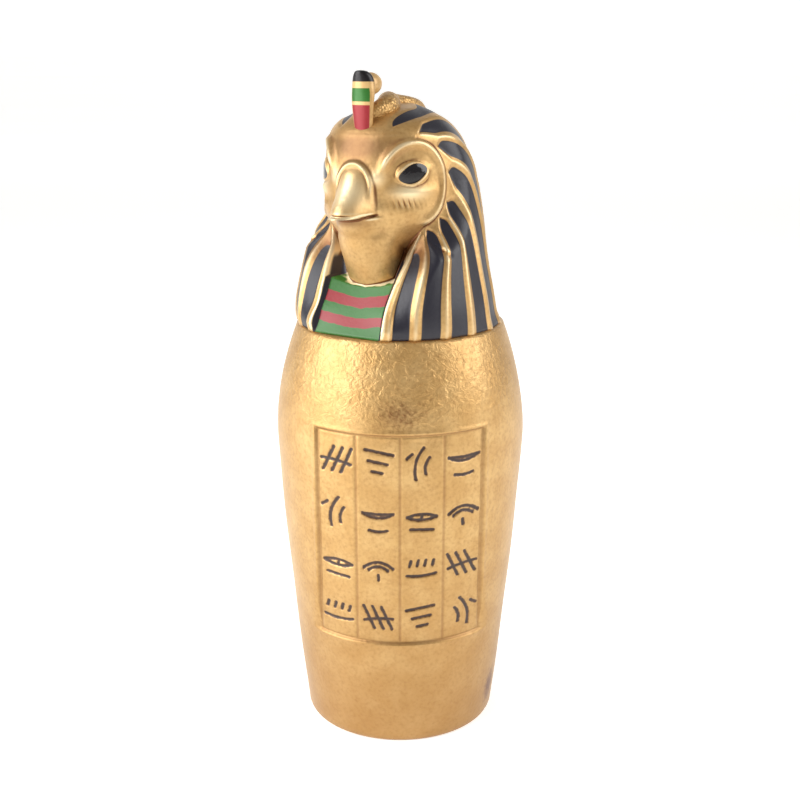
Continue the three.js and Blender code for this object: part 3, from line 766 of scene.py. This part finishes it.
def inside_radius(angle, h):
    """The surface inside the opening: the collar, the neck above it, and the face."""
    face = face_radius(angle, h)
    neck = neck_radius(angle, h) - 0.12 * np.maximum(0, h - THROAT_TOP) ** 2
    above = (neck + face + np.hypot(neck - face, 3)) / 2
    over_collar = smoothstep(collar_level(angle, h), COLLAR_TOP - 0.3, COLLAR_TOP + 0.5)
    return lerp(collar_radius(angle, h), above, over_collar)


def head_radius(angle, h):
    """The whole head: the opening's surface set into the cloth, whose edge sinks towards it."""
    opening = inside_opening(angle, h)
    sink = edge_sink(h) * (1 - smoothstep(-opening, 0, SINK_WIDTH))
    cloth = cloth_radius(angle, h) - sink - RIB_RELIEF * smoothstep(stripe_inside(angle, h), -0.7, 0.2)
    return lerp(cloth, inside_radius(angle, h), smoothstep(opening, -0.6, 0.6))


HEAD_ROWS = [  # from, to, rows
    (0, COLLAR_TOP - 0.9, 16), (COLLAR_TOP - 0.5, COLLAR_TOP + 4, 17),
    (COLLAR_TOP + 4.6, FAN_TOP, 36), (FAN_TOP + 0.4, DOME_FOOT, 96),
]
plug = [
    (0, -PLUG_LENGTH), (20, -PLUG_LENGTH), (PLUG_RADIUS - PLUG_EDGE, -PLUG_LENGTH),
    (PLUG_RADIUS, -PLUG_LENGTH + PLUG_EDGE), (PLUG_RADIUS, -1), (PLUG_RADIUS, JOINT_GAP / 2),
    (PLUG_RADIUS + 2, JOINT_GAP / 2),
]
heights = [h for low, high, rows in HEAD_ROWS for h in np.linspace(low, high, rows)]
up_dome = np.linspace(1, 0, DOME_ROWS + 2)[1:-1]
heights += list(CROWN - (CROWN - DOME_FOOT) * up_dome**1.7)
wall = [(SEAM_RADIUS, max(h, JOINT_GAP / 2)) for h in heights]
lid_mesh = finished_mesh("lid_shell", turned(plug + wall + [(0, CROWN)], [(0, 360, HEAD_COLUMNS)]))
x, y, h = points_of(lid_mesh)
even_turn = np.arctan2(x, -y)
seam_angle = np.degrees(abs(even_turn - math.radians(FRONT_CROWDING) * np.sin(even_turn)))
angle = lerp(fanned(seam_angle, h), seam_angle, smoothstep(h, FAN_TOP, FAN_TOP + 14))
turn = np.sign(even_turn) * np.radians(angle)
radius = np.hypot(x, y)
is_carved = radius > SEAM_RADIUS - 0.5
radius = np.where(is_carved, head_radius(angle, h), radius)
around = (
    head_radius(np.minimum(angle + 2, 179.9), h) + head_radius(abs(angle - 2), h)
    + head_radius(angle, h + 1.2) + head_radius(angle, h - 1.2)
) / 4
facing = turn + math.radians(FACING)
move_points(lid_mesh, radius * np.sin(facing), -radius * np.cos(facing), h + SEAM_HEIGHT)
below_crown = is_carved * (1 - smoothstep(h, 84, 88))
# How far each point lies below its neighbours; the material paints shade into the hollows and highlights
# onto the raised forms from it.
keep_measure(lid_mesh, "hollow", np.clip(around - radius, -2, 2) * below_crown)
keep_measure(lid_mesh, "stripe", np.where(is_carved, stripe_inside(angle, h), FAR_OUTSIDE))
keep_measure(lid_mesh, "opening", np.where(is_carved, inside_opening(angle, h), FAR_OUTSIDE))
keep_measure(lid_mesh, "eye", eye_inside(angle, h))
keep_measure(lid_mesh, "collar_level", collar_level(angle, h))
# Painted highlights: pale patches under the eye, on the beak and beside it, where the light falls
# brightest.
under_eye_highlight = patch((angle - 39) * MM_A_DEGREE, h - 60.8, 6.5, 2.8)
beak_highlight = patch(across_face(angle), h - 61, 6, 6.5)
lore_highlight = 0.8 * patch((angle - LORE_PLACE[0]) * MM_A_DEGREE, h - LORE_PLACE[1], 3, 3)
keep_measure(lid_mesh, "painted_highlight", np.maximum.reduce([under_eye_highlight, beak_highlight, lore_highlight]) * is_carved)
# Painted shade: reddish brown on the forehead, under the beak and in the recess beside the neck.
forehead = 1.2 * patch(angle, h - 79, 28, 7)
under_beak_shade = patch(across_face(angle), h - 48.4, 7, 1.8)
by_neck_shade = patch(angle - 46, h - 36, 13, 9)
painted_shade = np.minimum(1, np.maximum.reduce([forehead, under_beak_shade, by_neck_shade]))
keep_measure(lid_mesh, "painted_shade", painted_shade * is_carved)

# Gold lacquer as on the jar, with painted highlights in pale gold on the raised forms, the beak, beside
# it and under the eyes, and painted shade in brown in the hollows, on the forehead, under the beak and by
# the neck.
# The cloth's stripes, the collar and the eyes are brushed over it in satin enamel: flat deep colour
# with a soft shine, and glossier eyes. The edges of the collar's bands wander as a brush does.
NAVY = linear("#15121f")
GREEN = linear("#2a6820")
RED = linear("#901a22")
EYE_BLACK = linear("#0e090c")
RED_BROWN = linear("#6c472b")
PALE_GOLD = linear("#f4e0b4")
COLLAR_BANDS = [(3.8, RED), (7.7, GREEN), (11.6, RED), (15.6, GREEN), (COLLAR_TOP, PALE_GOLD)]
BAND_WANDER = 2
WANDER_SIZE = 7  # length of the waves in the edge of a brushed band
HIGHLIGHT_SHARE = 0.9
SHADE_SHARE = 0.75
HOLLOW_SHADE_RANGE = (0.02, 0.45)
BAND_EDGE = (0.8, 1.1)
LAPPET_WALL_TOP = 33
ENAMEL_ROUGHNESS = 0.42
EYE_ROUGHNESS = 0.06
LID_GRAIN_DEPTH = 0.2

lid_gold = new_material("gold_lacquer_and_enamel_lid")
place = node(lid_gold, "TexCoord").outputs["Object"]
height = node(lid_gold, "SeparateXYZ", {"Vector": place}).outputs["Z"]
hollow, painted_highlight, painted_shade, opening, stripe, eye, collar_height = [
    node(lid_gold, "Attribute", attribute_name=name).outputs["Fac"]
    for name in ("hollow", "painted_highlight", "painted_shade", "opening", "stripe", "eye", "collar_level")
]
wander = node(lid_gold, "TexNoise", {"Vector": place, "Scale": 1 / (WANDER_SIZE * MM)}).outputs["Fac"]
level = node(
    lid_gold, "Math", {0: wander, 1: BAND_WANDER, 2: collar_height}, operation="MULTIPLY_ADD"
).outputs[0]

# Where each paint lies: what is measured, and where the paint starts and is at its fullest.
lappet_wall_top = SEAM_HEIGHT + LAPPET_WALL_TOP
LID_MASKS = {
    "raised": (hollow, -0.05, -0.5),
    "in opening": (opening, 0.35, 0.6),
    "below collar top": (level, COLLAR_TOP + 1.7, COLLAR_TOP + 1.3),
    "on cloth": (opening, 0, -0.2),
    "on stripe": (stripe, -0.06, 0.06),
    "behind lappet edge": (opening, -0.35, -0.2),
    "before throat": (opening, 0.6, 0.5),
    "beside throat": (height, lappet_wall_top * MM, (lappet_wall_top - 3) * MM),
    "eye": (eye, -0.12, 0.12),
}
mask = {
    name: node(
        lid_gold, "MapRange", {"Value": measure, "From Min": start, "From Max": end},
        interpolation_type="SMOOTHSTEP",
    ).outputs["Result"]
    for name, (measure, start, end) in LID_MASKS.items()
}

gold_colour, grain = sprayed_gold(lid_gold, place)
# Painted highlight: pale gold over the raised forms and over the listed patches.
highlighted = node(lid_gold, "Math", {0: mask["raised"], 1: painted_highlight}, operation="MAXIMUM").outputs[0]
highlighted = node(lid_gold, "Math", {0: highlighted, 1: HIGHLIGHT_SHARE}, operation="MULTIPLY").outputs[0]
lid_colour = node(lid_gold, "Mix", {0: highlighted, 6: gold_colour, 7: PALE_GOLD}, data_type="RGBA").outputs[2]
# Painted shade in reddish brown.
shaded = node(lid_gold, "Math", {0: painted_shade, 1: SHADE_SHARE}, operation="MULTIPLY").outputs[0]
lid_colour = node(lid_gold, "Mix", {0: shaded, 6: lid_colour, 7: RED_BROWN}, data_type="RGBA").outputs[2]
# Painted shade: brown in the hollows.
lid_colour = brushed_over(lid_gold, lid_colour, WASH_AND_SHADE_BROWN, hollow, *HOLLOW_SHADE_RANGE)

bands = GREEN
for start, colour in COLLAR_BANDS:
    bands = brushed_over(lid_gold, bands, colour, level, start + BAND_EDGE[0], start + BAND_EDGE[1])
collared = node(
    lid_gold, "Math", {0: mask["in opening"], 1: mask["below collar top"]}, operation="MULTIPLY"
).outputs[0]
lid_colour = node(lid_gold, "Mix", {0: collared, 6: lid_colour, 7: bands}, data_type="RGBA").outputs[2]

striped = node(
    lid_gold, "Math", {0: mask["on stripe"], 1: mask["on cloth"]}, operation="MULTIPLY"
).outputs[0]
lappet_wall = mask["beside throat"]
for name in ("behind lappet edge", "before throat"):
    lappet_wall = node(
        lid_gold, "Math", {0: mask[name], 1: lappet_wall}, operation="MULTIPLY"
    ).outputs[0]
navy = node(lid_gold, "Math", {0: striped, 1: lappet_wall}, operation="MAXIMUM").outputs[0]
lid_colour = node(lid_gold, "Mix", {0: navy, 6: lid_colour, 7: NAVY}, data_type="RGBA").outputs[2]
lid_colour = node(
    lid_gold, "Mix", {0: mask["eye"], 6: lid_colour, 7: EYE_BLACK}, data_type="RGBA"
).outputs[2]

painted = mask["eye"]
for paint in (collared, navy):
    painted = node(lid_gold, "Math", {0: paint, 1: painted}, operation="MAXIMUM").outputs[0]
lid_metal = node(
    lid_gold, "MapRange", {"Value": painted, "To Min": GOLD_METALLIC, "To Max": 0}
).outputs["Result"]
enamel_roughness = node(
    lid_gold, "MapRange", {"Value": painted, "To Min": GOLD_ROUGHNESS, "To Max": ENAMEL_ROUGHNESS}
).outputs["Result"]
lid_roughness = node(
    lid_gold, "MapRange", {"Value": mask["eye"], "To Min": enamel_roughness, "To Max": EYE_ROUGHNESS}
).outputs["Result"]
grained = node(
    lid_gold, "Bump", {"Height": grain, "Distance": LID_GRAIN_DEPTH * MM, "Strength": GRAIN_STRENGTH}
).outputs["Normal"]
lid_surface = node(
    lid_gold, "BsdfPrincipled",
    {
        "Base Color": lid_colour, "Metallic": lid_metal, "Roughness": lid_roughness,
        "Normal": grained, "Coat Weight": CLEAR_COAT, "Coat Roughness": CLEAR_COAT_ROUGHNESS,
    },
)
node(lid_gold, "OutputMaterial", {"Surface": lid_surface.outputs["BSDF"]})
lid_mesh.materials.append(lid_gold)
lid_head = show("falcon_head", lid_mesh)
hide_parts("falcon_head_lid")
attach(lid_head, "root")

# ---------------------------------------------------------------- the cobra on the brow
# A rearing cobra cast with the lid: a flat hood with red, green and black enamel, and a body that
# coils behind it and lies back over the crown as a tapering tail.
HOOD_FRONT = 31
HOOD_LEAN = 0.07
LEAN_LEVEL = 86
HOOD_SECTIONS = [  # height, half width, half depth
    (78, 3.5, 2.2), (82, 3.9, 2.3), (86, 4.3, 2.3), (90, 4.8, 2.3), (95, 5.2, 2.4), (98, 5.4, 2.8),
    (101, 5.4, 3.4), (104, 5.2, 3.9), (106.4, 4.9, 4), (108.4, 3.9, 3.4), (109.8, 2.1, 2),
]
COBRA_HEAD_FORWARD = 23.6
COBRA_HEAD_HEIGHT = 104.2
COBRA_HEAD_SIZE = (4.7, 6.2, 4.7)
TAIL_SECTIONS = [  # forward of the crown's middle, aside, height, radius
    (26, 0, 91, 2.8), (22.5, 2.6, 93, 4), (17.5, 4.2, 94.6, 5), (12, 2.2, 95.8, 5.5),
    (7, -1.8, 96, 4.8), (2, -2.2, 95.9, 3.8), (-4, 0.6, 95.6, 3.2), (-10, 2.0, 94.8, 2.8),
    (-16, 0.6, 93.4, 2.3), (-21, -0.8, 91.4, 1.8), (-25, -0.4, 89, 1.0),
]
SMOOTHING = 2


def swept(sections, segments):
    """A closed tube through sections, each a matrix that places a circle of radius 1."""
    shape = bmesh.new()
    bmesh.ops.create_circle(shape, cap_ends=True, segments=segments, radius=1, matrix=sections[0])
    ring = list(shape.edges)
    for before, after in zip(sections, sections[1:]):
        grown = bmesh.ops.extrude_edge_only(shape, edges=ring)["geom"]
        corners = [part for part in grown if isinstance(part, bmesh.types.BMVert)]
        ring = [part for part in grown if isinstance(part, bmesh.types.BMEdge)]
        bmesh.ops.transform(shape, verts=corners, matrix=after @ before.inverted())
    bmesh.ops.contextual_create(shape, geom=ring)
    bmesh.ops.recalc_face_normals(shape, faces=shape.faces)
    return shape


def on_lid(shape):
    """Turns a piece made facing forward to the way that the lid looks, and lifts it to the lid."""
    lift = Matrix.Translation((0, 0, SEAM_HEIGHT * MM))
    placed = lift @ Matrix.Rotation(math.radians(FACING), 4, "Z")
    bmesh.ops.transform(shape, verts=shape.verts, matrix=placed)
    return shape


hood_stations = []
for h, half_width, half_depth in HOOD_SECTIONS:
    front = HOOD_FRONT + HOOD_LEAN * (h - LEAN_LEVEL)
    hood_stations.append(
        Matrix.Translation(Vector((0, half_depth - front, h)) * MM)
        @ Matrix.Diagonal((half_width * MM, half_depth * MM, MM, 1))
    )
hood_shape = swept(hood_stations, 24)
head_middle = Matrix.Translation(Vector((0, -COBRA_HEAD_FORWARD, COBRA_HEAD_HEIGHT)) * MM)
bmesh.ops.create_uvsphere(
    hood_shape, u_segments=20, v_segments=12, radius=1,
    matrix=head_middle @ Matrix.Diagonal((*Vector(COBRA_HEAD_SIZE) * MM, 1)),
)
hood_mesh = finished_mesh("cobra_hood", on_lid(hood_shape))

tail_points = [Vector((aside, -forward, h)) for forward, aside, h, _ in TAIL_SECTIONS]
tail_stations = []
for k, (_, _, _, thickness) in enumerate(TAIL_SECTIONS):
    ahead = tail_points[min(k + 1, len(tail_points) - 1)] - tail_points[max(k - 1, 0)]
    tail_stations.append(
        Matrix.Translation(tail_points[k] * MM)
        @ ahead.to_track_quat("Z", "Y").to_matrix().to_4x4()
        @ Matrix.Diagonal((thickness * MM, thickness * MM, MM, 1))
    )
tail_mesh = finished_mesh("cobra_tail", on_lid(swept(tail_stations, 16)))

# The front of the hood is enamelled in red and green bands on the gold, and its head has a black cap.
# The enamel ends inside the hood's edge, so a gold border shows. The gold looks less metallic than on
# the lid, because the paint on so small a form lies thick.
HOOD_BANDS = [(85.2, RED), (95.8, GOLD_LIGHT), (97.2, GREEN), (102.6, GOLD_LIGHT)]
CAP_FOOT = 105.2
CAP_DEPTH = 4.4
ENAMEL_SHARE = 0.84
ENAMEL_HALF_WIDTH = 5
ENAMEL_DEPTH = 1.6
HOOD_METALLIC = 0.2
HOOD_ROUGHNESS = 0.32
BRUSH_EDGE = 0.15
CAP_EDGE = 0.2

x, y, z = points_of(hood_mesh)
side = x * math.cos(math.radians(FACING)) + y * math.sin(math.radians(FACING))
forward = x * math.sin(math.radians(FACING)) - y * math.cos(math.radians(FACING))
hood_heights, half_widths, _ = np.array(HOOD_SECTIONS, float).T
share_aside = abs(side) / np.interp(z - SEAM_HEIGHT, hood_heights, half_widths)
depth_in = HOOD_FRONT + HOOD_LEAN * (z - SEAM_HEIGHT - LEAN_LEVEL) - forward
from_border = (ENAMEL_SHARE - share_aside) * ENAMEL_HALF_WIDTH
keep_measure(hood_mesh, "enamelled", np.minimum(from_border, ENAMEL_DEPTH - depth_in))
keep_measure(hood_mesh, "capped", CAP_DEPTH - depth_in)

hood_enamel = new_material("enamel_on_gold_cobra")
place = node(hood_enamel, "TexCoord").outputs["Object"]
height = node(hood_enamel, "SeparateXYZ", {"Vector": place}).outputs["Z"]
enamelled, capped = [
    node(hood_enamel, "Attribute", attribute_name=name).outputs["Fac"] for name in ("enamelled", "capped")
]
gold_colour, _ = sprayed_gold(hood_enamel, place)
bands = gold_colour
for start, colour in HOOD_BANDS:
    foot = SEAM_HEIGHT + start
    bands = brushed_over(
        hood_enamel, bands, colour, height, (foot - BRUSH_EDGE) * MM, (foot + BRUSH_EDGE) * MM
    )
enamel_cover = node(
    hood_enamel, "MapRange", {"Value": enamelled, "From Min": -BRUSH_EDGE, "From Max": BRUSH_EDGE},
    interpolation_type="SMOOTHSTEP",
).outputs["Result"]
hood_colour = node(
    hood_enamel, "Mix", {0: enamel_cover, 6: gold_colour, 7: bands}, data_type="RGBA"
).outputs[2]
cap_front = node(
    hood_enamel, "MapRange", {"Value": capped, "From Min": -0.3, "From Max": 0.3},
    interpolation_type="SMOOTHSTEP",
).outputs["Result"]
cap_foot = SEAM_HEIGHT + CAP_FOOT
hood_colour = brushed_over(
    hood_enamel, hood_colour, EYE_BLACK,
    height, (cap_foot - CAP_EDGE) * MM, (cap_foot + CAP_EDGE) * MM, cap_front
)
hood_surface = node(
    hood_enamel, "BsdfPrincipled",
    {"Base Color": hood_colour, "Metallic": HOOD_METALLIC, "Roughness": HOOD_ROUGHNESS},
)
node(hood_enamel, "OutputMaterial", {"Surface": hood_surface.outputs["BSDF"]})
hood_mesh.materials.append(hood_enamel)

# The same gold over cast scales 1.3 mm across, with painted shade between them: many small glints, no
# broad shine.
SCALE_SIZE = 1.3
SCALE_DEPTH = 0.5
SCALE_STRENGTH = 0.8
SHADE_BETWEEN_SCALES = (0.5, 1.1)
TAIL_METALLIC = 0.6
TAIL_ROUGHNESS = 0.38

scaled_gold = new_material("scaled_gold_cobra")
place = node(scaled_gold, "TexCoord").outputs["Object"]
gold_colour, _ = sprayed_gold(scaled_gold, place)
scales = node(
    scaled_gold, "TexVoronoi", {"Vector": place, "Scale": 1 / (SCALE_SIZE * MM)}
).outputs["Distance"]
scaled = node(
    scaled_gold, "Bump", {"Height": scales, "Distance": SCALE_DEPTH * MM, "Strength": SCALE_STRENGTH},
    invert=True,
).outputs["Normal"]
tail_surface = node(
    scaled_gold, "BsdfPrincipled",
    {
        "Base Color": brushed_over(scaled_gold, gold_colour, GOLD_DARK, scales, *SHADE_BETWEEN_SCALES),
        "Metallic": TAIL_METALLIC, "Roughness": TAIL_ROUGHNESS, "Normal": scaled,
    },
)
node(scaled_gold, "OutputMaterial", {"Surface": tail_surface.outputs["BSDF"]})
tail_mesh.materials.append(scaled_gold)

for name, mesh in (("cobra_hood", hood_mesh), ("cobra_tail", tail_mesh)):
    piece = show(name, mesh)
    smooth = piece.modifiers.new("smooth", "SUBSURF")
    smooth.levels = SMOOTHING
    smooth.render_levels = SMOOTHING
    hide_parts("falcon_head_lid")
    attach(piece, "root")
